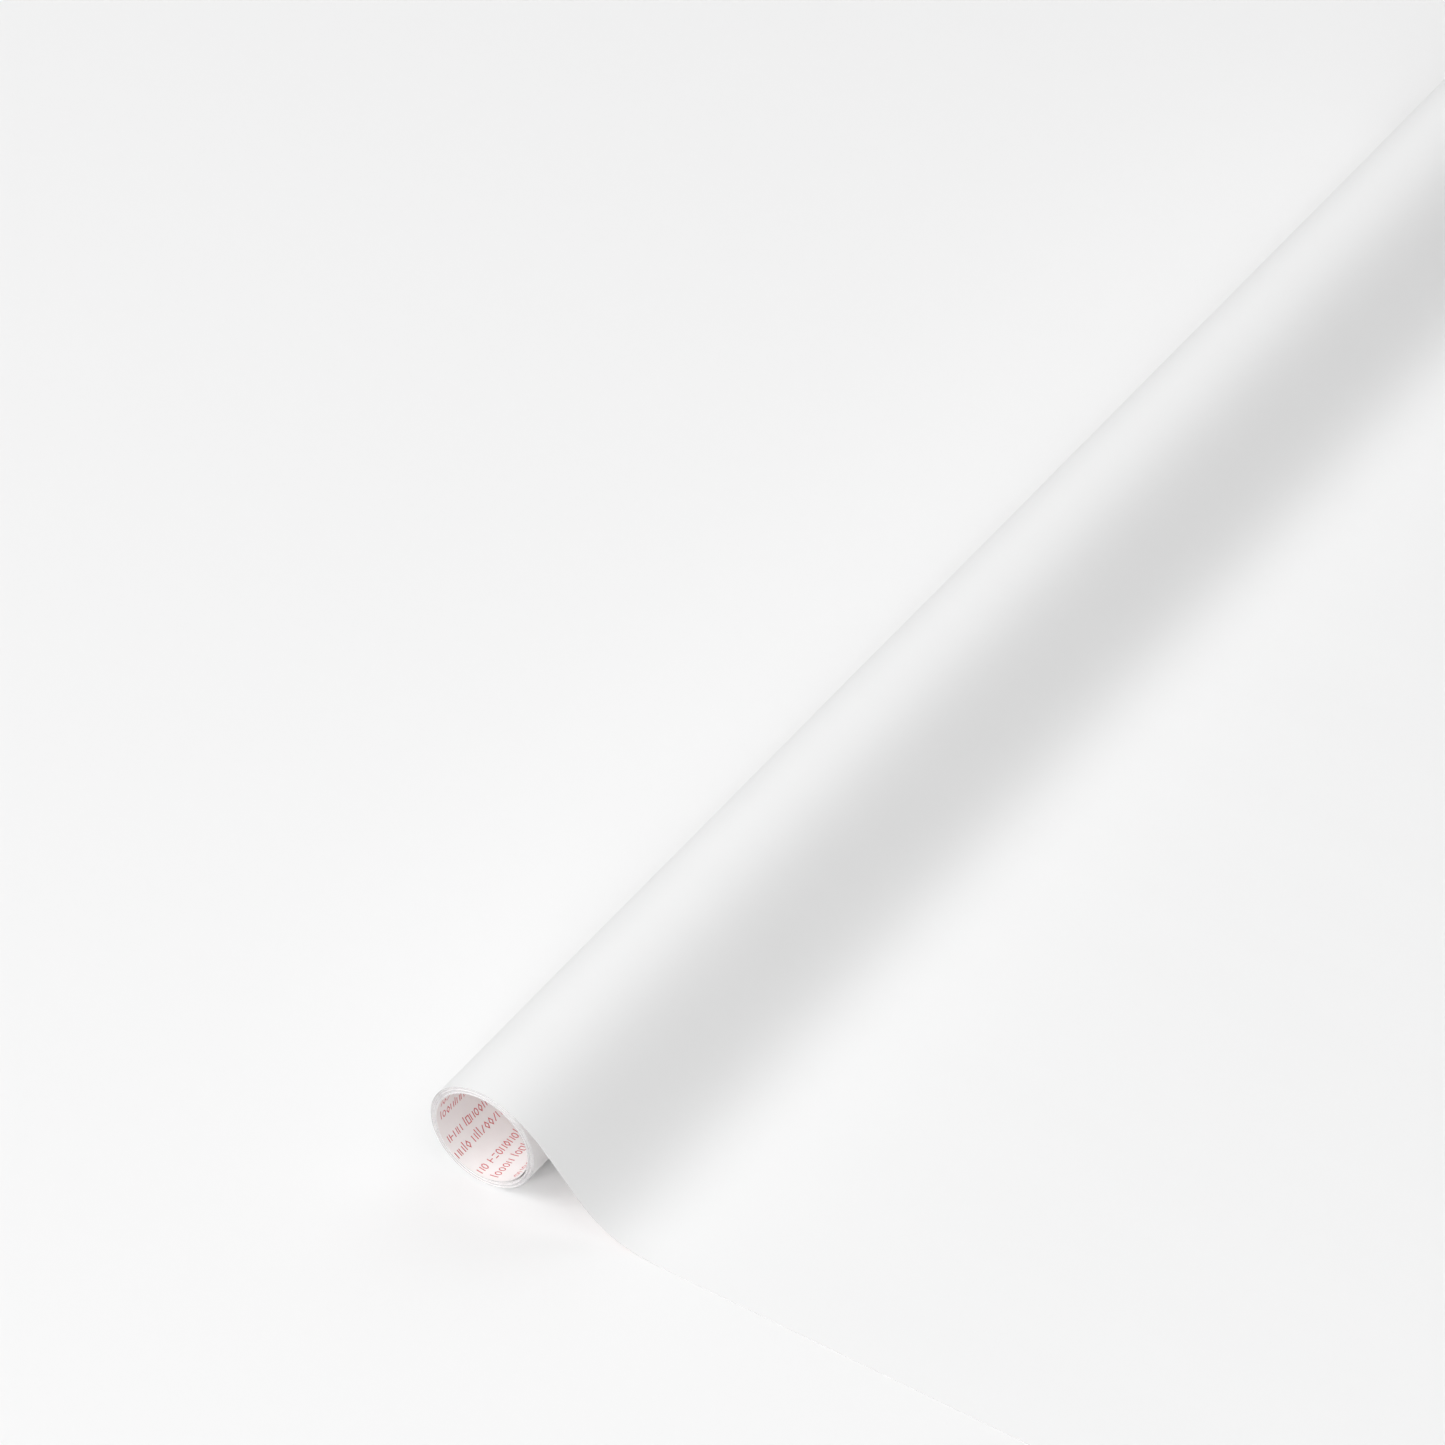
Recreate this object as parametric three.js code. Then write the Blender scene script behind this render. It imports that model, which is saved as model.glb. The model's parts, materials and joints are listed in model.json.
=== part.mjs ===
// A roll of self-adhesive film on a printed release liner, lying on a table and partly unrolled.
//
// Row frame, millimetres: +X along the roll, -Y the way the loose sheet runs, +Z up, with the origin
// under the middle of the whole piece. The roll has no core tube: it is one long web of three bonded
// layers, film outside and uppermost, adhesive in the middle, liner inside and underneath.
//
// Every node is a prism along X, so each outline is drawn in the (u, z) plane, where u is the distance
// from the roll's axis towards the loose sheet. Angles are measured from +u towards +z.
import * as THREE from 'three';

// The web
const WEB_WIDTH = 675;
const WEB_LENGTH = 2000;
const FILM_THICKNESS = 0.08;
const ADHESIVE_THICKNESS = 0.015;
const LINER_THICKNESS = 0.064;
const LAYER_GAP = 0.005;

// The roll
const ROLL_RADIUS = 19.6;
const PACK_CLEARANCE = 0.1; // between the turning pack and the outermost half lap
const PACK_START = degrees(270); // the pack's outer end, at the bottom of the roll
const PACK_LAPS = 12 + 4 / 15; // a whole number of steps, so that the laps nest
const LOOSE_STRETCH = degrees(105); // the inner end of the web bridges this much of the bore
const LOOSE_DEPTH = 0.6;

// The raised span, from the roll down to the table. The web eases from the roll into its steepest
// slope, holds it for a short way, and eases out onto the table.
const LEAVE_ANGLE = degrees(80); // where the web starts to lift off the roll
const SPAN_SLOPE = degrees(48.9);
const EASE_IN = 31; // lengths along the web
const EASE_OUT = 40;

// The peelable tail at the free end
const TAIL_LENGTH = 80;
const TAIL_GAP = 0.3;

// How finely curves are drawn
const PACK_STEP = degrees(12);
const LAP_STEP = degrees(3);
const EASE_STEPS = 16;

// Heights of the layers above the web's underside
const ADHESIVE_BASE = LINER_THICKNESS + LAYER_GAP;
const FILM_BASE = ADHESIVE_BASE + ADHESIVE_THICKNESS + LAYER_GAP;
const WEB_THICKNESS = FILM_BASE + FILM_THICKNESS;
const LAP_PITCH = WEB_THICKNESS + LAYER_GAP;

const LAYERS = [
  { name: 'film', base: FILM_BASE, top: WEB_THICKNESS },
  { name: 'adhesive', base: ADHESIVE_BASE, top: ADHESIVE_BASE + ADHESIVE_THICKNESS },
  { name: 'liner', base: 0, top: LINER_THICKNESS },
];

const MATERIALS = {
  film: new THREE.MeshStandardMaterial({ color: 0xf1f1f0, roughness: 0.42, metalness: 0 }),
  adhesive: new THREE.MeshStandardMaterial({ color: 0xe9ebe6, roughness: 0.2, metalness: 0 }),
  liner: new THREE.MeshStandardMaterial({ color: 0xece6e4, roughness: 0.5, metalness: 0 }),
};

function degrees(value) {
  return (value * Math.PI) / 180;
}

// A station is a point on the web's underside with the unit normal that points to the film side.
function station(centre, radius, angle, side = 1) {
  const outward = new THREE.Vector2(Math.cos(angle), Math.sin(angle));
  return {
    point: centre.clone().addScaledVector(outward, radius),
    normal: outward.multiplyScalar(side),
  };
}

// The angles from first to last in equal steps of about the given size.
function angles(first, last, step) {
  const count = Math.round(Math.abs(last - first) / step);
  return Array.from({ length: count + 1 }, (_, i) => first + ((last - first) * i) / count);
}

const rollCentre = new THREE.Vector2(0, ROLL_RADIUS);
const packTurn = PACK_LAPS * 2 * Math.PI;
const packRadius = ROLL_RADIUS - WEB_THICKNESS - PACK_CLEARANCE;

// How far the web's inner end stands off the wall of the bore, a smooth bridge that closes at its tip.
function looseness(turned) {
  const along = (turned - (packTurn - LOOSE_STRETCH)) / LOOSE_STRETCH;
  return along > 0 ? LOOSE_DEPTH * Math.sin(Math.PI * along) ** 2 : 0;
}

// The wound pack: a spiral from its outer end inwards, one lap pitch closer to the axis each turn.
function packStations() {
  return angles(0, packTurn, PACK_STEP).map((turned) => {
    const wound = (LAP_PITCH * turned) / (2 * Math.PI);
    const radius = packRadius - WEB_THICKNESS - wound - looseness(turned);
    return station(rollCentre, radius, PACK_START + turned);
  });
}

// A stretch of web that starts at the given point and slopes down by an angle that changes smoothly
// along it. The slope is a function of the share of the stretch's length, from 0 to 1.
function easedStations(start, length, slope) {
  const step = length / EASE_STEPS;
  const stations = [];
  const point = start.clone();
  for (let i = 1; i <= EASE_STEPS; i++) {
    const middle = slope((i - 0.5) / EASE_STEPS);
    const end = slope(i / EASE_STEPS);
    point.add(new THREE.Vector2(Math.cos(middle), -Math.sin(middle)).multiplyScalar(step));
    stations.push({ point: point.clone(), normal: new THREE.Vector2(Math.sin(end), Math.cos(end)) });
  }
  return stations;
}

function drop(start, stations) {
  return start.y - stations.at(-1).point.y;
}

// The outermost half lap over the back of the roll, then the raised span. The steepest slope is held
// for as long as it takes to come down to the table.
function spanStations() {
  const lap = angles(PACK_START, LEAVE_ANGLE, LAP_STEP).map((angle) =>
    station(rollCentre, ROLL_RADIUS - WEB_THICKNESS, angle),
  );
  const leave = lap.at(-1).point;
  const leaveSlope = Math.PI / 2 - LEAVE_ANGLE;
  const easeIn = (share) => leaveSlope + (SPAN_SLOPE - leaveSlope) * Math.sin((Math.PI / 2) * share);
  const easeOut = (share) => SPAN_SLOPE * (1 - share + Math.sin(2 * Math.PI * share) / (4 * Math.PI));

  const leaving = easedStations(leave, EASE_IN, easeIn);
  const level = new THREE.Vector2();
  const toDrop = leave.y - drop(leave, leaving) - drop(level, easedStations(level, EASE_OUT, easeOut));
  const held = toDrop / Math.sin(SPAN_SLOPE);
  const along = new THREE.Vector2(Math.cos(SPAN_SLOPE), -Math.sin(SPAN_SLOPE));
  const steepEnd = leaving.at(-1).point.clone().addScaledVector(along, held);
  const steep = { point: steepEnd, normal: leaving.at(-1).normal };
  return [...lap, ...leaving, steep, ...easedStations(steepEnd, EASE_OUT, easeOut)];
}

function flatStations(from, to) {
  const up = new THREE.Vector2(0, 1);
  return [from, to].map((u) => ({ point: new THREE.Vector2(u, 0), normal: up }));
}

// The length of web along a chain of stations.
function webLength(stations) {
  return stations.slice(1).reduce((sum, s, i) => sum + s.point.distanceTo(stations[i].point), 0);
}

const pack = packStations();
const span = spanStations();
const landingU = span.at(-1).point.x;
const flatLength = WEB_LENGTH - webLength(pack) - webLength(span);
const freeEndU = landingU + flatLength;
const tailU = freeEndU - TAIL_LENGTH;
const axisY = (freeEndU - ROLL_RADIUS) / 2; // centres the bounding box on the origin

// One layer of the web: both faces of the layer along its stations, extruded over the web's width.
function layerMesh(name, layer, stations) {
  const face = (height) =>
    stations.map(({ point, normal }) => point.clone().addScaledVector(normal, height));
  const shape = new THREE.Shape([...face(layer.base), ...face(layer.top).reverse()]);
  const geometry = new THREE.ExtrudeGeometry(shape, { depth: WEB_WIDTH, steps: 1, bevelEnabled: false });
  const mesh = new THREE.Mesh(geometry, MATERIALS[layer.name]);
  mesh.name = name;
  return mesh;
}

// The outlines' (x, y) plane stands up as the row's (-Y, Z) plane, extruded from the +X end to the -X end.
const part = new THREE.Group();
const outlines = new THREE.Group();
outlines.matrixAutoUpdate = false;
outlines.matrix.makeBasis(
  new THREE.Vector3(0, -1, 0),
  new THREE.Vector3(0, 0, 1),
  new THREE.Vector3(-1, 0, 0),
);
outlines.matrix.setPosition(WEB_WIDTH / 2, axisY, 0);
part.add(outlines);

const seam = TAIL_GAP / 2;
for (const layer of LAYERS) {
  const laidTo = layer.name === 'liner' ? freeEndU : tailU - seam;
  outlines.add(layerMesh(`${layer.name}_wound`, layer, pack));
  outlines.add(layerMesh(`${layer.name}_span`, layer, span));
  outlines.add(layerMesh(`${layer.name}_laid`, layer, flatStations(landingU + seam, laidTo)));
  if (layer.name !== 'liner') {
    outlines.add(layerMesh(`${layer.name}_tail`, layer, flatStations(tailU + seam, freeEndU)));
  }
}

export default part;
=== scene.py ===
import json
import math

import bmesh
import bpy
import numpy as np
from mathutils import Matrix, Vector


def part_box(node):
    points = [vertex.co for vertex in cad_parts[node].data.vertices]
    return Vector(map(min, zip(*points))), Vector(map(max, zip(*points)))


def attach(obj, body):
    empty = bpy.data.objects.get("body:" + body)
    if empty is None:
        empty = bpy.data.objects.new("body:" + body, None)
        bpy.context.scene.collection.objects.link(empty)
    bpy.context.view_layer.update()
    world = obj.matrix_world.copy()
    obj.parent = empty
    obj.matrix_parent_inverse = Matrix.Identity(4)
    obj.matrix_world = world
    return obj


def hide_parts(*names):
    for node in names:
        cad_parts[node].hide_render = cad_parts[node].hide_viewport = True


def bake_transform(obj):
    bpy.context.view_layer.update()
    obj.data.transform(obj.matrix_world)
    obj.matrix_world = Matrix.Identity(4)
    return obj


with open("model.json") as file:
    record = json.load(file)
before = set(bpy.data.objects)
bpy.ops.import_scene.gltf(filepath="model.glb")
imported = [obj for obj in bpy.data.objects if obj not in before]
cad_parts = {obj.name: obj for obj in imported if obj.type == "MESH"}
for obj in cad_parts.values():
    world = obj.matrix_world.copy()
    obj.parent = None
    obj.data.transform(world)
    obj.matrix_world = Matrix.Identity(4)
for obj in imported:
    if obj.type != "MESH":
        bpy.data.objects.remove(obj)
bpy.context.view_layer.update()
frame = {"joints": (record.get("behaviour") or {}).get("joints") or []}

# Looks for a coreless roll of white self-adhesive film on a printed release liner, lying on a table
# and partly unrolled. Everything is in metres in the row frame: +X along the roll, -Y the way the
# loose sheet runs, +Z up. The web is drawn in the (u, z) plane, where u is the distance from the
# roll's axis towards the loose sheet. Angles on the roll are measured from +u towards +z. Lengths along
# a path are called s, and lengths along the whole web from its inner end are called w.

MM = 0.001

# ---------------------------------------------------------------- sizes, from the frame and the web
joints = {joint["name"]: joint for joint in frame["joints"]}
AXIS_Y, ROLL_RADIUS = joints["roll_turn"]["pos_m"][1:]
NEAR_X, FAR_X = (corner.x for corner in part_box("film_wound"))
FREE_END_U = AXIS_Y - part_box("liner_laid")[0].y
SEAM_U = AXIS_Y - joints["film_peel"]["pos_m"][1]

FILM = 0.080 * MM
ADHESIVE = 0.015 * MM
LINER = 0.064 * MM
LAYER_GAP = 0.005 * MM

ADHESIVE_BASE = LINER + LAYER_GAP
FILM_BASE = ADHESIVE_BASE + ADHESIVE + LAYER_GAP
WEB = FILM_BASE + FILM
LAP_PITCH = WEB + LAYER_GAP
LAYERS = {
    "film": (FILM_BASE, WEB),
    "adhesive": (ADHESIVE_BASE, ADHESIVE_BASE + ADHESIVE),
    "liner": (0.0, LINER),
}

# The roll: a turning pack inside the outermost half lap. Its laps don't line up quite exactly.
PACK_CLEARANCE = 0.02 * MM
PACK_START = math.radians(270)
PACK_TURN = 2 * math.pi * (12 + 4 / 15)
LOOSE_STRETCH = math.radians(105)
LOOSE_DEPTH = 0.6 * MM
STAGGER = 0.4 * MM
STAGGER_WAVES = [(0.6, 0.83, 0.0), (0.4, 0.31, 1.1)]  # share, waves to a lap, and phase in radians

# The span from the roll down to the table
LEAVE_ANGLE = math.radians(80)
SPAN_SLOPE = math.radians(48.9)
EASE_IN = 31 * MM
EASE_OUT = 40 * MM

# How finely the web is drawn
ARC_STEP = math.radians(1.5)
PACK_STEP = math.radians(2.5)
EASE_STEP = 0.7 * MM
FLAT_STEP = 6 * MM
TAIL_STEP = 2 * MM
SHEET_COLUMNS = 56
PACK_COLUMNS = 4


# ---------------------------------------------------------------- the web's path
# A path is an array with a row for each station: u, z, and the unit normal that points to the film.
def arc(centre, radius, first, last, step=ARC_STEP):
    """Stations from the first angle to the last, with the film on the outside."""
    count = round(abs(last - first) / step) + 1
    angle = np.linspace(first, last, count)
    outward = np.column_stack([np.cos(angle), np.sin(angle)])
    radius = np.broadcast_to(radius, count)
    return np.hstack([centre + outward * radius[:, None], outward])


def flat(u_from, u_to, step=FLAT_STEP):
    """Stations along the table top."""
    u = np.linspace(u_from, u_to, round((u_to - u_from) / step) + 1)
    return np.column_stack([u, 0 * u, 0 * u, 0 * u + 1])


def straight(start, end):
    """The stations after start, up to end, where both have the same normal."""
    count = math.ceil(np.linalg.norm(end[:2] - start[:2]) / FLAT_STEP)
    share = np.linspace(0, 1, count + 1)[1:, None]
    return start + (end - start) * share


def eased(start, length, slope):
    """The stations after start, where the web slopes down by slope(share of the length)."""
    count = math.ceil(length / EASE_STEP)
    share = np.arange(1, count + 1) / count
    middle, end = slope(share - 0.5 / count), slope(share)
    move = np.column_stack([np.cos(middle), -np.sin(middle)]) * length / count
    return np.column_stack([start[:2] + np.cumsum(move, axis=0), np.sin(end), np.cos(end)])


def lengths(path):
    """The length along a path at each of its stations."""
    steps = np.linalg.norm(np.diff(path[:, :2], axis=0), axis=1)
    return np.concatenate([[0.0], np.cumsum(steps)])


ROLL_CENTRE = np.array([0.0, ROLL_RADIUS])


def span_path():
    """The outermost half lap over the back of the roll, then the slope down to the table. The slope
    eases in from the roll, holds for as long as it takes to come down, and eases out."""
    leave_slope = math.pi / 2 - LEAVE_ANGLE
    more_slope = SPAN_SLOPE - leave_slope
    lap = arc(ROLL_CENTRE, ROLL_RADIUS - WEB, PACK_START, LEAVE_ANGLE)
    leaving = eased(lap[-1], EASE_IN, lambda t: leave_slope + more_slope * np.sin(math.pi / 2 * t))
    landing = eased(
        np.zeros(2),
        EASE_OUT,
        lambda t: SPAN_SLOPE * (1 - t + np.sin(2 * math.pi * t) / (4 * math.pi)),
    )
    held = (leaving[-1, 1] + landing[-1, 1]) / math.sin(SPAN_SLOPE)
    steep_end = leaving[-1].copy()
    steep_end[:2] += held * np.array([math.cos(SPAN_SLOPE), -math.sin(SPAN_SLOPE)])
    landing[:, :2] += steep_end[:2]
    return np.vstack([lap, leaving, straight(leaving[-1], steep_end), landing])


def pack_path():
    """The wound pack from its outer end inwards. Its inner end stands a little off the bore's wall."""
    turned = np.linspace(0, PACK_TURN, round(PACK_TURN / PACK_STEP) + 1)
    along = np.clip((turned - PACK_TURN + LOOSE_STRETCH) / LOOSE_STRETCH, 0, 1)
    loose = LOOSE_DEPTH * np.sin(math.pi * along) ** 2
    outer = ROLL_RADIUS - WEB - PACK_CLEARANCE - WEB
    radius = outer - LAP_PITCH * turned / (2 * math.pi) - loose
    return arc(ROLL_CENTRE, radius, PACK_START, PACK_START + PACK_TURN, PACK_STEP)


def stagger(path):
    """How far along the roll each station of the wound pack has crept."""
    turned = np.linspace(0, PACK_TURN, len(path))
    waves = [share * np.sin(rate * turned + phase) for share, rate, phase in STAGGER_WAVES]
    return STAGGER * sum(waves)


SPAN = span_path()
PACK = pack_path()
PACK_LENGTH = lengths(PACK)[-1]
LANDING_U = SPAN[-1, 0]


# ---------------------------------------------------------------- meshes
def face_outwards(mesh):
    """Turns the faces of a closed mesh so that they all look outwards."""
    work = bmesh.new()
    work.from_mesh(mesh)
    bmesh.ops.recalc_face_normals(work, faces=work.faces)
    work.to_mesh(mesh)
    work.free()


def new_object(name, vertices, faces, material, smooth_angle=40, closed=True):
    """An object that is shaded smooth, but for the edges sharper than smooth_angle in degrees."""
    mesh = bpy.data.meshes.new(name)
    mesh.from_pydata(vertices.tolist(), [], faces)
    mesh.validate()
    if closed:
        face_outwards(mesh)
    mesh.shade_smooth()
    mesh.set_sharp_from_angle(angle=math.radians(smooth_angle))
    mesh.materials.append(material)
    piece = bpy.data.objects.new(name, mesh)
    bpy.context.scene.collection.objects.link(piece)
    return piece


def grid_faces(rows, columns, first=0, flip=False):
    """The faces between the vertices of a grid, which are numbered row by row from first."""
    faces = []
    for i in range(rows - 1):
        for j in range(columns - 1):
            a = first + i * columns + j
            quad = (a, a + 1, a + columns + 1, a + columns)
            faces.append(quad[::-1] if flip else quad)
    return faces


def rim_faces(rows, columns, lower):
    """The strip that joins the edges of two grids, the second one's vertices starting at lower."""
    edge = list(range(columns))
    edge += [i * columns + columns - 1 for i in range(1, rows)]
    edge += [(rows - 1) * columns + j for j in range(columns - 2, -1, -1)]
    edge += [i * columns for i in range(rows - 2, 0, -1)]
    ring = zip(edge, edge[1:] + edge[:1])
    return [(b, a, a + lower, b + lower) for a, b in ring]


def off_path(stations, height, x):
    """Points in the row frame at a height above the web's underside."""
    u, z, normal_u, normal_z = np.moveaxis(stations, -1, 0)
    return np.stack([x, AXIS_Y - u - normal_u * height, z + normal_z * height], axis=-1)


def web_layer(name, path, layer, material, columns=SHEET_COLUMNS, shift=0.0):
    """One layer of the web along a path: a thin closed sheet as wide as the web. The shift moves
    each station along the roll."""
    base, top = LAYERS[layer]
    x = np.linspace(NEAR_X, FAR_X, columns) + np.broadcast_to(shift, len(path))[:, None]
    stations = np.repeat(path[:, None, :], columns, axis=1)
    above, below = (off_path(stations, height, x).reshape(-1, 3) for height in (top, base))
    rows, lower = len(path), len(path) * columns
    faces = grid_faces(rows, columns)
    faces += grid_faces(rows, columns, first=lower, flip=True)
    faces += rim_faces(rows, columns, lower)
    return new_object(name, np.vstack([above, below]), faces, material)


# ---------------------------------------------------------------- the print on the liner
# Rows of rings, boxes, diamonds and plain strokes that stand for small print and say nothing. Each
# mark is drawn one unit wide and one unit high, as lines that are given an even stroke.
INK = 0.010 * MM
INK_SINK = 0.2 * INK  # how far the ink reaches into the liner
STROKE = 0.34 * MM
MARK_WIDTH = 1.4 * MM
THIN_MARK_WIDTH = 0.3 * MARK_WIDTH
LOW_MARK, TALL_MARK = 2.4 * MM, 3.3 * MM
LETTER_GAP, WORD_GAP = 0.76 * MM, 1.3 * MM
BLOCK_PERIOD, FIRST_BLOCK, ROW_SPACING = 14.4 * MM, 12 * MM, 5.6 * MM
COLUMN_WIDTH, COLUMN_GAP, FIRST_COLUMN = 128 * MM, 9 * MM, 66 * MM
SHORTEST_LINE = 0.55  # share of the column's width
WORD_LENGTHS = 4, 12  # from, and up to but not including

RING = [(0.5 + 0.5 * math.cos(a), 0.5 + 0.5 * math.sin(a)) for a in np.arange(8) * math.pi / 4]
BOX = [(0, 0), (1, 0), (1, 0.5), (1, 1), (0, 1), (0, 0.5)]
DIAMOND = [(0.5, 0), (1, 0.5), (0.5, 1), (0, 0.5)]


def upright(at):
    return [(at, 0), (at, 0.5), (at, 1)], False


def level(at):
    return [(0, at), (1, at)], False


# Each kind of mark has its strokes, each a line and whether it closes, its width and its height
MARKS = [
    ([(RING, True)], MARK_WIDTH, LOW_MARK),
    ([(BOX, True)], MARK_WIDTH, LOW_MARK),
    ([(DIAMOND, True)], MARK_WIDTH, LOW_MARK),
    ([upright(0), upright(1)], MARK_WIDTH, LOW_MARK),
    ([upright(0.5)], THIN_MARK_WIDTH, LOW_MARK),
    ([upright(0.5)], THIN_MARK_WIDTH, TALL_MARK),
    ([level(0.15), level(0.85)], MARK_WIDTH, LOW_MARK),
    ([upright(0), level(0.5)], MARK_WIDTH, LOW_MARK),
    ([([(0, 0), (0.5, 0.5), (1, 1)], False)], MARK_WIDTH, LOW_MARK),
]
# How often each kind comes up
MARK_SHARES = [0.24, 0.1, 0.08, 0.18, 0.08, 0.12, 0.02, 0.12, 0.06]


def stroke_edges(line, closed):
    """The two edges of an even stroke along a line of points, mitred at its corners."""
    along = np.diff(line, axis=0, append=line[:1])
    along /= np.linalg.norm(along, axis=1)[:, None]
    before = np.roll(along, 1, axis=0)
    if not closed:
        before[0], along[-1] = along[0], along[-2]
    across_in, across_out = (np.column_stack([-d[:, 1], d[:, 0]]) for d in (before, along))
    mitre = (across_in + across_out) / (1 + np.sum(across_in * across_out, axis=1))[:, None]
    return line + mitre * STROKE / 2, line - mitre * STROKE / 2


def mark_mesh(strokes, width, height):
    """The corners (x, w, and 1 on the inked face) and faces of one mark, made of closed prisms."""
    corners, faces = [], []
    for line, closed in strokes:
        left, right = stroke_edges(np.array(line, float) * (width, height), closed)
        n, first = len(line), len(corners)
        for edge, inked in ((left, 1), (right, 1), (left, 0), (right, 0)):
            corners += [(x, w, inked) for x, w in edge]
        a, b, c, d = (first + n * k for k in range(4))
        for i in range(n if closed else n - 1):
            j = (i + 1) % n
            faces += [(a + i, a + j, b + j, b + i), (c + i, d + i, d + j, c + j)]
            faces += [(a + i, c + i, c + j, a + j), (b + i, b + j, d + j, d + i)]
        if not closed:
            faces += [(a, b, d, c), (a + n - 1, c + n - 1, d + n - 1, b + n - 1)]
    return np.array(corners), faces


def printed_rows(w_from, w_to):
    """The w of the foot of each row of print that fits between two lengths along the web."""
    blocks = np.arange(math.floor(w_from / BLOCK_PERIOD) - 1, math.ceil(w_to / BLOCK_PERIOD) + 1)
    rows = FIRST_BLOCK + BLOCK_PERIOD * blocks[:, None] + ROW_SPACING * np.array([-0.5, 0.5])
    return [w for w in rows.ravel() if w_from <= w <= w_to - TALL_MARK]


def typeset(rows, rng):
    """Where the marks of some rows go: for each kind of mark, a list of (x, w)."""
    places = [[] for _ in MARKS]
    starts = np.arange(NEAR_X + FIRST_COLUMN - COLUMN_WIDTH, FAR_X, COLUMN_WIDTH + COLUMN_GAP)
    for w in rows:
        for start in starts:
            end = min(start + COLUMN_WIDTH * rng.uniform(SHORTEST_LINE, 1), FAR_X - MARK_WIDTH)
            x = start
            while x < end:
                for kind in rng.choice(len(MARKS), rng.integers(*WORD_LENGTHS), p=MARK_SHARES):
                    if NEAR_X + STROKE < x < end:
                        places[kind].append((x, w))
                    x += MARKS[kind][1] + LETTER_GAP
                x += WORD_GAP
    return places


def print_piece(name, path, w_at_start, sign, rows, seed):
    """Rows of print on the underside of the web along a path. w_at_start is the distance of the
    path's first station from the web's inner end. The sign is 1 where that distance grows along the
    path, and -1 where it falls."""
    run = lengths(path)
    vertices, faces, count = [], [], 0
    for mark, places in zip(MARKS, typeset(rows, np.random.default_rng(seed))):
        if not places:
            continue
        corners, mark_faces = mark_mesh(*mark)
        placed = np.array(places)[:, None, :] + corners[None, :, :2]
        x, w = placed[..., 0], placed[..., 1]
        s = (w - w_at_start) * sign
        stations = np.stack([np.interp(s, run, path[:, k]) for k in range(4)], axis=-1)
        height = np.where(corners[:, 2] > 0, -INK, INK_SINK)
        vertices.append(off_path(stations, height, x).reshape(-1, 3))
        for first in range(count, count + placed[..., 0].size, len(corners)):
            faces += [tuple(first + v for v in face) for face in mark_faces]
        count += placed[..., 0].size
    return new_object(name, np.vstack(vertices), faces, ink_material, smooth_angle=30)


# ---------------------------------------------------------------- materials
NOISE_RANGE = 0.3, 0.7  # where nearly all of a noise value lies
EDGE_NORMAL = 0.6, 0.9  # how squarely a face looks along the roll as it turns into a cut edge


def surface(name, colour, roughness, **constants):
    """A material with a plain finish, to which each material's own function adds its detail."""
    material = bpy.data.materials.new(name)
    material.use_nodes = True
    shader = material.node_tree.nodes["Principled BSDF"]
    shader.inputs["Base Color"].default_value = (*colour, 1)
    shader.inputs["Roughness"].default_value = roughness
    for socket, value in constants.items():
        shader.inputs[socket.replace("_", " ")].default_value = value
    return material, material.node_tree, shader


def noise(tree, scale, detail=3.0, stretch=(1, 1, 1)):
    """A noise value in the piece's own coordinates, with about scale features to the metre."""
    place = tree.nodes.new("ShaderNodeTexCoord")
    mapping = tree.nodes.new("ShaderNodeMapping")
    mapping.inputs["Scale"].default_value = stretch
    texture = tree.nodes.new("ShaderNodeTexNoise")
    texture.inputs["Scale"].default_value = scale
    texture.inputs["Detail"].default_value = detail
    tree.links.new(place.outputs["Object"], mapping.inputs["Vector"])
    tree.links.new(mapping.outputs["Vector"], texture.inputs["Vector"])
    return texture.outputs["Fac"]


def tint(tree, value, low, high):
    """The noise value as a colour from low to high."""
    ramp = tree.nodes.new("ShaderNodeValToRGB")
    for stop, position, colour in zip(ramp.color_ramp.elements, NOISE_RANGE, (low, high)):
        stop.position, stop.color = position, (*colour, 1)
    tree.links.new(value, ramp.inputs["Fac"])
    return ramp.outputs["Color"]


def between(tree, value, low, high, value_range=NOISE_RANGE):
    """A number from low to high, as the value runs over its range."""
    scaled = tree.nodes.new("ShaderNodeMapRange")
    sockets = "From Min", "From Max", "To Min", "To Max"
    for socket, number in zip(sockets, (*value_range, low, high)):
        scaled.inputs[socket].default_value = number
    tree.links.new(value, scaled.inputs["Value"])
    return scaled.outputs["Result"]


def relief(tree, shader, value, depth, strength):
    """Bumps that follow a value, with a depth in metres."""
    bump = tree.nodes.new("ShaderNodeBump")
    bump.inputs["Distance"].default_value = depth
    bump.inputs["Strength"].default_value = strength
    tree.links.new(value, bump.inputs["Height"])
    tree.links.new(bump.outputs["Normal"], shader.inputs["Normal"])


def mixed(tree, share, first, second):
    """The first colour where share is 0, and the second where it is 1."""
    mix = tree.nodes.new("ShaderNodeMix")
    mix.data_type = "RGBA"
    tree.links.new(share, mix.inputs["Factor"])
    tree.links.new(first, mix.inputs["A"])
    tree.links.new(second, mix.inputs["B"])
    return mix.outputs["Result"]


def on_cut_edge(tree):
    """1 on the faces that look along the roll, where the web was cut to its width, and 0 elsewhere."""
    geometry = tree.nodes.new("ShaderNodeNewGeometry")
    parts = tree.nodes.new("ShaderNodeSeparateXYZ")
    size = tree.nodes.new("ShaderNodeMath")
    size.operation = "ABSOLUTE"
    tree.links.new(geometry.outputs["Normal"], parts.inputs["Vector"])
    tree.links.new(parts.outputs["X"], size.inputs["Value"])
    return between(tree, size.outputs["Value"], 0, 1, EDGE_NORMAL)


def paint_faces_and_shaded_edges(tree, shader, face, edge):
    """One colour over the faces and another on the cut edges, where the darker edge colour is partly
    painted shade.
    """
    tree.links.new(mixed(tree, on_cut_edge(tree), face, edge), shader.inputs["Base Color"])


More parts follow.
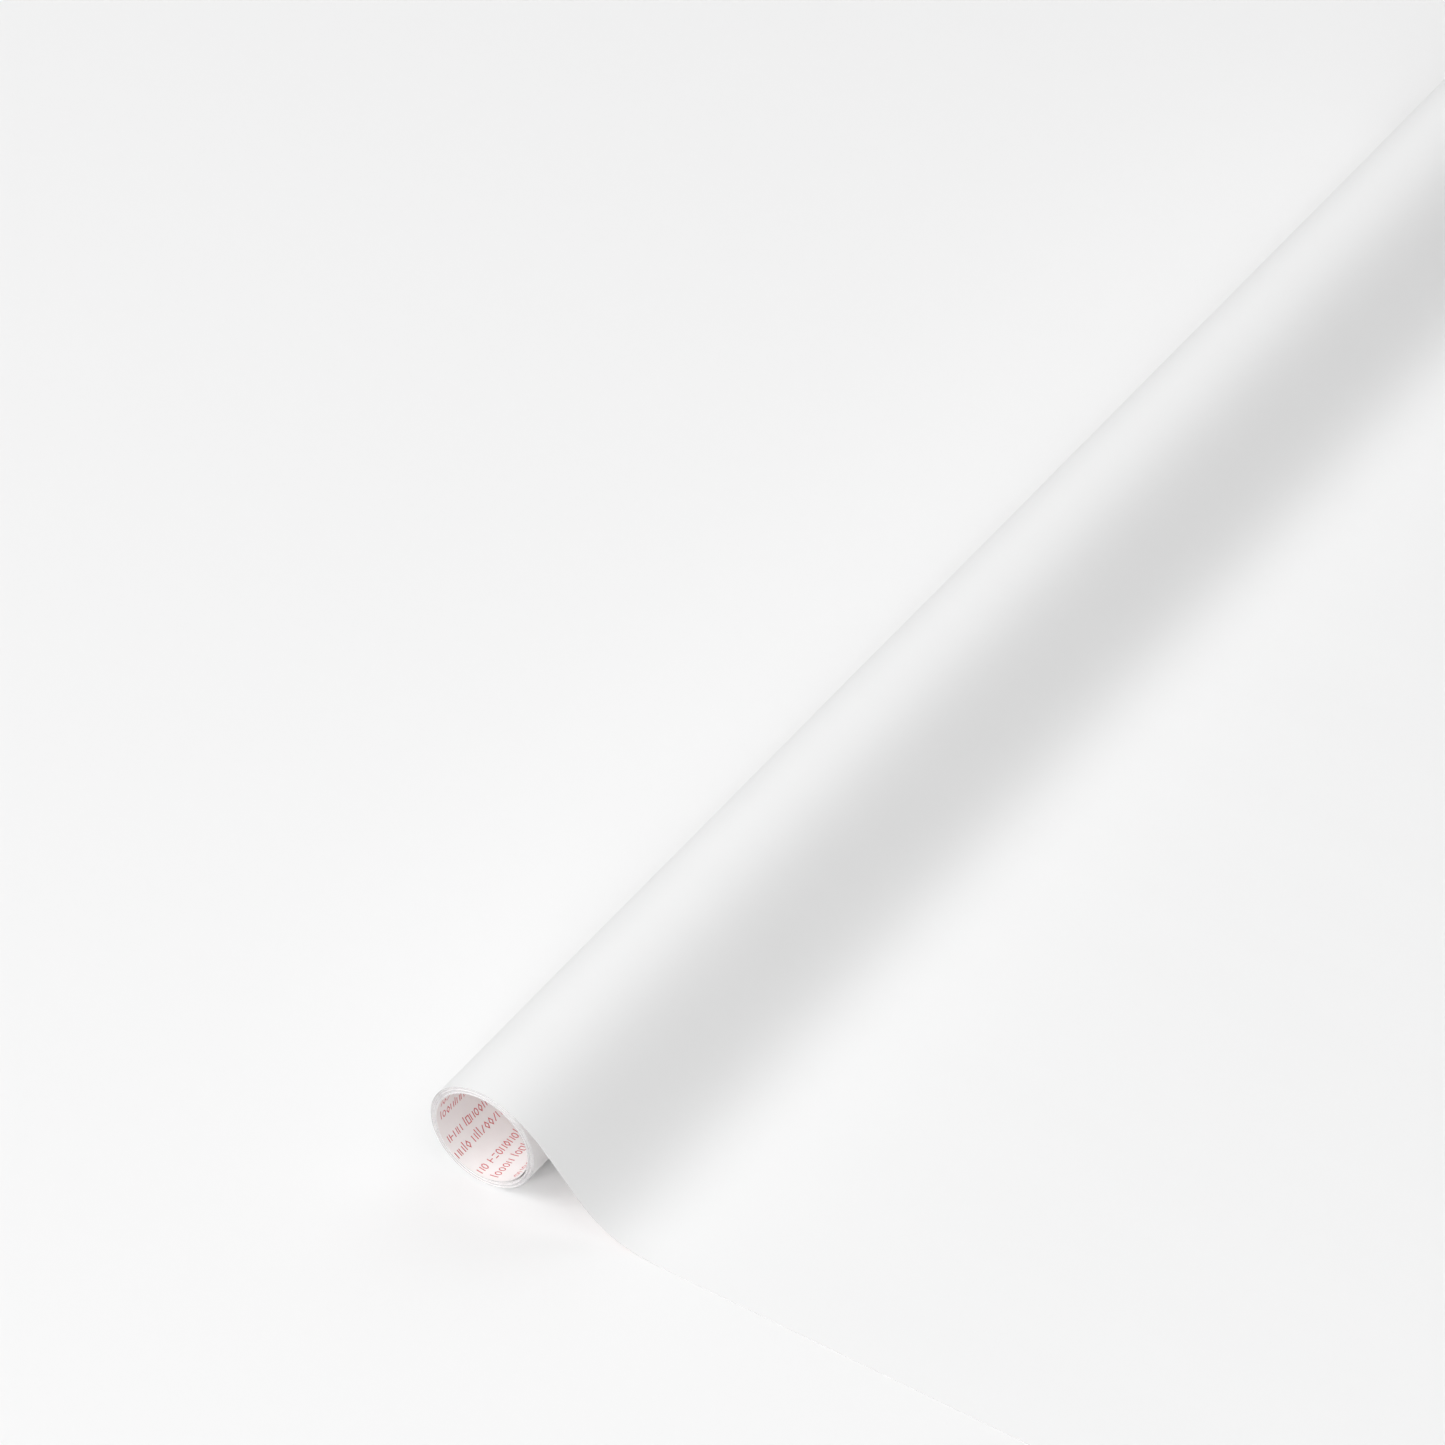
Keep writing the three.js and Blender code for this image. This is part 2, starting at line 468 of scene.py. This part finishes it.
def film_finish():
    """Satin white vinyl: even, with faint streaks along the web and a very fine grain."""
    material, tree, shader = surface("film", (0.853, 0.853, 0.853), 0.55, Specular_IOR_Level=0.3)
    streaks = noise(tree, 40, 2, stretch=(1, 0.03, 0.03))
    face = tint(tree, streaks, (0.85, 0.851, 0.851), (0.856, 0.857, 0.857))
    # The cut edges get a mottled grey that is partly their own uneven tone and partly painted shade,
    # made darker to hold down the strong low light from the near end.
    edge = tint(tree, noise(tree, 700, 4), (0.45, 0.45, 0.455), (0.34, 0.335, 0.345))
    paint_faces_and_shaded_edges(tree, shader, face, edge)
    tree.links.new(between(tree, noise(tree, 60), 0.5, 0.62), shader.inputs["Roughness"])
    relief(tree, shader, noise(tree, 1400, 2), 0.02 * MM, 0.15)
    return material


def adhesive_finish():
    """A clear, tacky coating that looks milky over the white film, with an uneven wet gloss."""
    material, tree, shader = surface("adhesive", (0.86, 0.87, 0.84), 0.14, Coat_Weight=0.3)
    face = tint(tree, noise(tree, 90, 4), (0.83, 0.842, 0.81), (0.875, 0.882, 0.858))
    # The cut edges get a mottled grey that is partly their own uneven tone and partly painted shade,
    # made darker to hold down the strong low light from the near end.
    edge = tint(tree, noise(tree, 600, 4), (0.32, 0.315, 0.305), (0.45, 0.45, 0.44))
    paint_faces_and_shaded_edges(tree, shader, face, edge)
    tree.links.new(between(tree, noise(tree, 220), 0.08, 0.24), shader.inputs["Roughness"])
    relief(tree, shader, noise(tree, 500, 2), 0.04 * MM, 0.3)
    return material


def liner_finish():
    """Smooth siliconised paper, white with a faint pink cast and the mottle of its fibres."""
    material, tree, shader = surface("liner", (0.91, 0.88, 0.875), 0.45)
    mottle = noise(tree, 420, 6, stretch=(1, 0.6, 0.6))
    face = tint(tree, mottle, (0.902, 0.868, 0.863), (0.918, 0.892, 0.887))
    # The cut edges get a mottled grey with pinkish specks of ink that is partly their own tone and
    # partly painted shade, made darker to hold down the strong low light from the near end.
    edge = tint(tree, noise(tree, 500, 4), (0.48, 0.465, 0.47), (0.38, 0.335, 0.35))
    paint_faces_and_shaded_edges(tree, shader, face, edge)
    tree.links.new(between(tree, noise(tree, 800), 0.42, 0.6), shader.inputs["Roughness"])
    relief(tree, shader, noise(tree, 1800, 4), 0.015 * MM, 0.3)
    return material


def ink_finish():
    """Matt red print, a little uneven, as it takes on paper."""
    material, tree, shader = surface("print_ink", (0.6, 0.13, 0.14), 0.6)
    colour = tint(tree, noise(tree, 1500, 4), (0.54, 0.1, 0.11), (0.66, 0.16, 0.17))
    tree.links.new(colour, shader.inputs["Base Color"])
    tree.links.new(between(tree, noise(tree, 900), 0.5, 0.7), shader.inputs["Roughness"])
    return material


def floor_finish():
    """A plain pale table top."""
    material, tree, shader = surface("floor", (0.865, 0.865, 0.865), 0.7, Specular_IOR_Level=0.3)
    colour = tint(tree, noise(tree, 1.5, 2), (0.863, 0.863, 0.863), (0.867, 0.867, 0.867))
    tree.links.new(colour, shader.inputs["Base Color"])
    return material


film_material = film_finish()
adhesive_material = adhesive_finish()
liner_material = liner_finish()
ink_material = ink_finish()

# ---------------------------------------------------------------- the pieces
sheet = np.vstack([SPAN, flat(LANDING_U, SEAM_U)[1:]])
liner_sheet = np.vstack([SPAN, flat(LANDING_U, FREE_END_U)[1:]])
tail = flat(SEAM_U, FREE_END_U, TAIL_STEP)


def at(u):
    """The point in the middle of the web on the table top, at u from the roll's axis."""
    return (0, AXIS_Y - u, 0)


def stretch_with_sheet(piece):
    """Bakes the piece's transform into its mesh."""
    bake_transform(piece)


for layer, path, material in (
    ("film", sheet, film_material),
    ("adhesive", sheet, adhesive_material),
    ("liner", liner_sheet, liner_material),
):
    piece = web_layer(f"{layer}_sheet", path, layer, material)
    stretch_with_sheet(piece)
    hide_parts(f"{layer}_span", f"{layer}_laid")

    wound = web_layer(f"{layer}_pack", PACK, layer, material, PACK_COLUMNS, stagger(PACK))
    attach(wound, "roll")
    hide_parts(f"{layer}_wound")

for layer, material in (("film", film_material), ("adhesive", adhesive_material)):
    piece = web_layer(f"{layer}_peel", tail, layer, material)
    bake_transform(piece)
    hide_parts(f"{layer}_tail")

# Only the innermost lap of the pack shows its print, which stops just short of the web's inner end
PRINT_FROM, PRINT_TO = 3 * MM, 106 * MM
innermost = printed_rows(PRINT_FROM, PRINT_TO)
bore_print = print_piece("print_bore", PACK, PACK_LENGTH, -1, innermost, seed=11)
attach(bore_print, "roll")

# The print under the raised span starts where the web leaves the roll
LAP_LENGTH = (PACK_START - LEAVE_ANGLE) * (ROLL_RADIUS - WEB)
raised = printed_rows(PACK_LENGTH + LAP_LENGTH, PACK_LENGTH + lengths(SPAN)[-1])
span_print = print_piece("print_span", liner_sheet, PACK_LENGTH, 1, raised, seed=12)
stretch_with_sheet(span_print)

# ---------------------------------------------------------------- stage
FLOOR_SIZE = 24.0
FLOOR_CELLS = 24
FLOOR_Z = -0.02 * MM  # just clear of the sheet


def floor_grid():
    """The table top that the roll lies on."""
    along = np.linspace(-FLOOR_SIZE / 2, FLOOR_SIZE / 2, FLOOR_CELLS + 1)
    y, x = np.meshgrid(along, along, indexing="ij")
    points = np.stack([x, y, np.full_like(x, FLOOR_Z)], axis=-1).reshape(-1, 3)
    faces = grid_faces(FLOOR_CELLS + 1, FLOOR_CELLS + 1)
    return new_object("floor", points, faces, floor_finish(), closed=False)


floor_grid()


def direction(azimuth, elevation):
    """The unit vector towards an azimuth, turned from -Y towards +X, and an elevation, in degrees."""
    azimuth, elevation = math.radians(azimuth), math.radians(elevation)
    level_part = math.cos(elevation)
    return Vector(
        (math.sin(azimuth) * level_part, -math.cos(azimuth) * level_part, math.sin(elevation))
    )


SOFTBOX_DISTANCE = 12.0
SOFTBOX_SPREAD = 2 / 3  # width as a share of the distance


def softbox(name, azimuth, elevation, power, distance=SOFTBOX_DISTANCE):
    """A large square light that faces the middle of the piece and isn't seen itself."""
    data = bpy.data.lights.new(name, "AREA")
    data.size = distance * SOFTBOX_SPREAD
    data.energy = power
    lamp = bpy.data.objects.new(name, data)
    towards = direction(azimuth, elevation)
    lamp.location = towards * distance
    lamp.rotation_euler = towards.to_track_quat("Z", "Y").to_euler()
    lamp.visible_camera = False
    bpy.context.scene.collection.objects.link(lamp)


softbox("near_end_light", 270, 16, 1390)
softbox("close_near_end_light", 270, 16, 80, distance=5)
softbox("back_left_light", 225, 42, 770)
softbox("front_left_light", 315, 42, 150)
softbox("front_light", 0, 42, 160)
softbox("high_front_light", 0, 68, 235)
softbox("far_end_light", 90, 42, 225)
softbox("far_corner_light", 135, 42, 130)

# All the light comes from the softboxes, and none from the surroundings
world = bpy.data.worlds.new("studio")
bpy.context.scene.world = world
world.use_nodes = True
world.node_tree.nodes["Background"].inputs["Strength"].default_value = 0.0

bpy.context.scene.view_settings.view_transform = "Standard"

# ---------------------------------------------------------------- camera
CAMERA_AZIMUTH, CAMERA_ELEVATION = -56.5, 41
CAMERA_DISTANCE = 2.0816
LOOK_ALONG, LOOK_BEHIND = 224.4 * MM, 58.8 * MM
LENS_MM, SENSOR_MM = 152.4, 36

look_at = Vector((NEAR_X + LOOK_ALONG, AXIS_Y + LOOK_BEHIND, 0))
back = direction(CAMERA_AZIMUTH, CAMERA_ELEVATION)
camera_data = bpy.data.cameras.new("camera")
camera_data.lens = LENS_MM
camera_data.sensor_width = SENSOR_MM
camera = bpy.data.objects.new("camera", camera_data)
bpy.context.scene.collection.objects.link(camera)
camera.location = look_at + back * CAMERA_DISTANCE
camera.rotation_euler = (-back).to_track_quat("-Z", "Y").to_euler()
bpy.context.scene.camera = camera
